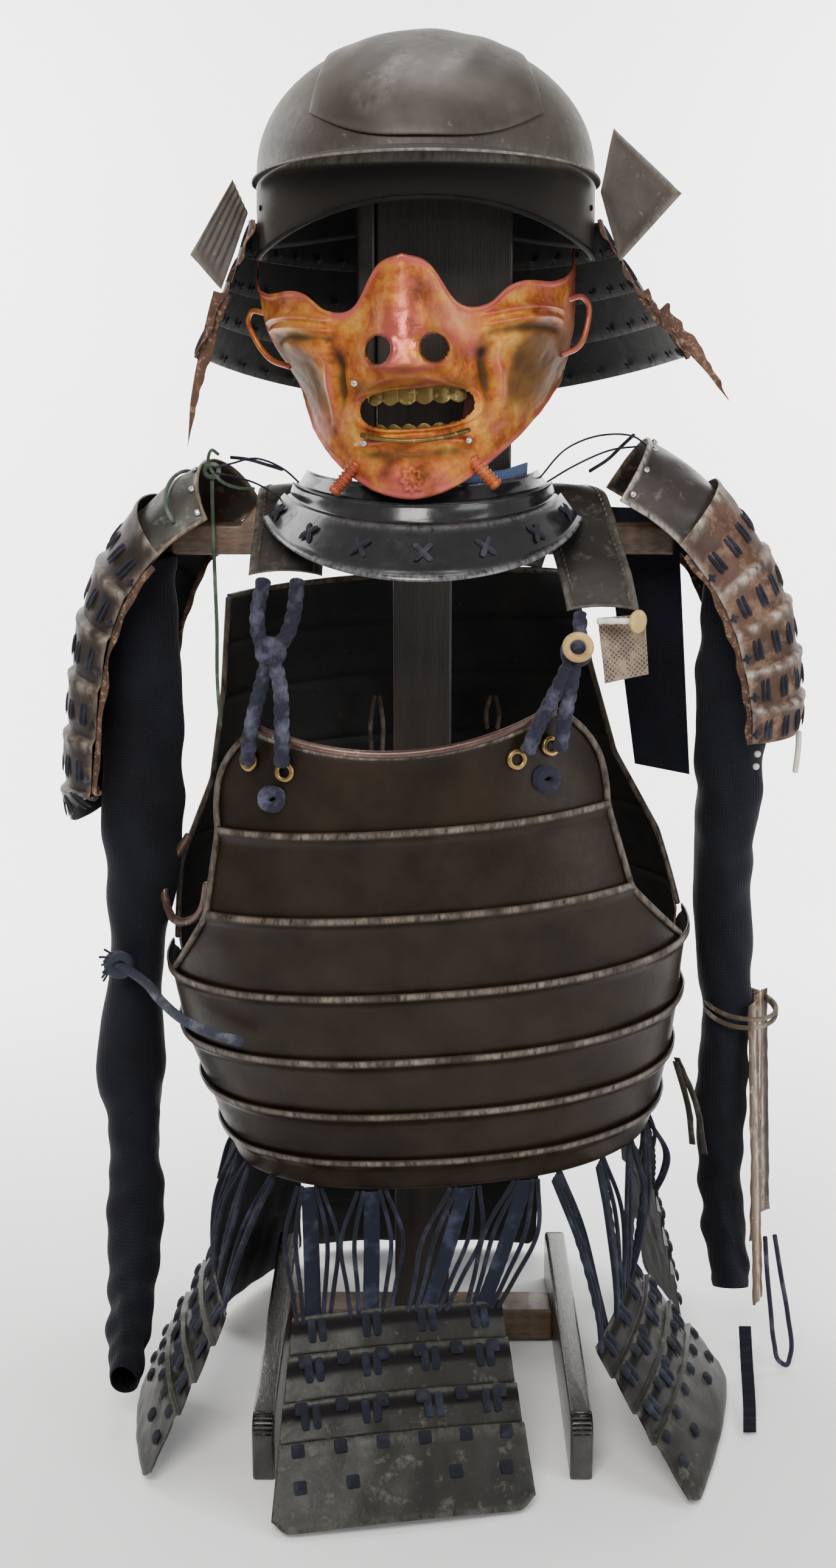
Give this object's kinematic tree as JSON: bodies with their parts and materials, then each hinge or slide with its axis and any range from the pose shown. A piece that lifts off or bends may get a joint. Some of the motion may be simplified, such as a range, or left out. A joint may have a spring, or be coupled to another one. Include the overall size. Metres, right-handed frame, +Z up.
{
  "type": "samurai armour on stand",
  "caption": "Worn set of laced samurai armour with helmet, face mask, cuirass, shoulder guards, sleeves and skirts, carried by a wooden armour stand.",
  "frame": {"origin": "on the floor under the centre of the object's box, where the stand's two feet rest", "axes": "+Z up, -Y towards the front of the armour, +X towards the left hand of a wearer, which is the right as seen from the front"},
  "size_m": [0.5204, 0.4313, 0.9266],
  "materials": {
    "stand_wood": "worn oiled wood",
    "helmet_iron": "matte worn russet iron",
    "dark_iron": "black lacquered iron",
    "mask_copper": "gold and copper patina",
    "gilt": "gilt",
    "black_lacquer": "glossy black lacquer",
    "brown_lacquer": "dark brown lacquer, edges worn",
    "strap_leather": "worn smoked leather",
    "cord": "braided navy silk",
    "green_cord": "faded green cord",
    "horn": "horn and bone",
    "guard_lacquer": "worn grey-brown lacquer",
    "sleeve_cloth": "navy cloth",
    "splint": "lacquered hide strips",
    "skirt_lacquer": "worn grey lacquer laced with navy cord"
  },
  "bodies": {
    "root": {"stand_foot_left": "stand_wood", "stand_foot_right": "stand_wood", "stand_rail": "stand_wood", "stand_post": "stand_wood", "stand_shoulder_bar": "stand_wood", "stand_head_block": "stand_wood", "helmet_bowl": "helmet_iron", "helmet_crown_plate": "helmet_iron", "helmet_visor": "helmet_iron", "turned_flap_left": "helmet_iron", "turned_flap_right": "helmet_iron", "neck_guard_lame_1": "dark_iron", "neck_guard_lame_2": "dark_iron", "neck_guard_lame_3": "dark_iron", "neck_guard_lame_4": "dark_iron", "mask_face": "mask_copper", "mask_teeth_upper": "gilt", "mask_teeth_lower": "gilt", "throat_lame_1": "black_lacquer", "throat_lame_2": "black_lacquer", "throat_lame_3": "black_lacquer", "front_lame_1": "brown_lacquer", "front_lame_2": "brown_lacquer", "front_lame_3": "brown_lacquer", "front_lame_4": "brown_lacquer", "front_lame_5": "brown_lacquer", "front_lame_6": "brown_lacquer", "front_lame_7": "brown_lacquer", "back_shell": "brown_lacquer", "shoulder_strap_left": "strap_leather", "shoulder_strap_right": "strap_leather", "strap_flap_right": "strap_leather", "shoulder_cord_left": "cord", "shoulder_cord_right": "cord", "waist_cord": "cord", "sleeve_loop_right": "cord", "guard_cord_left": "cord", "guard_cord_right": "cord", "green_string": "green_cord", "cord_ring": "horn", "toggle_pin": "horn", "shoulder_guard_cap_left": "guard_lacquer", "shoulder_guard_left": "guard_lacquer", "shoulder_guard_cap_right": "guard_lacquer", "shoulder_guard_right": "guard_lacquer", "sleeve_left": "sleeve_cloth", "sleeve_right": "sleeve_cloth", "sleeve_yoke_right": "sleeve_cloth", "hand_strap_right": "sleeve_cloth", "sleeve_splint_right_1": "splint", "sleeve_splint_right_2": "splint", "sleeve_splint_right_3": "splint", "skirt_front": "skirt_lacquer", "skirt_front_left": "skirt_lacquer", "skirt_front_right": "skirt_lacquer", "skirt_side_left": "skirt_lacquer", "skirt_side_right": "skirt_lacquer", "skirt_back_left": "skirt_lacquer", "skirt_back_right": "skirt_lacquer"}
  },
  "joints": []
}
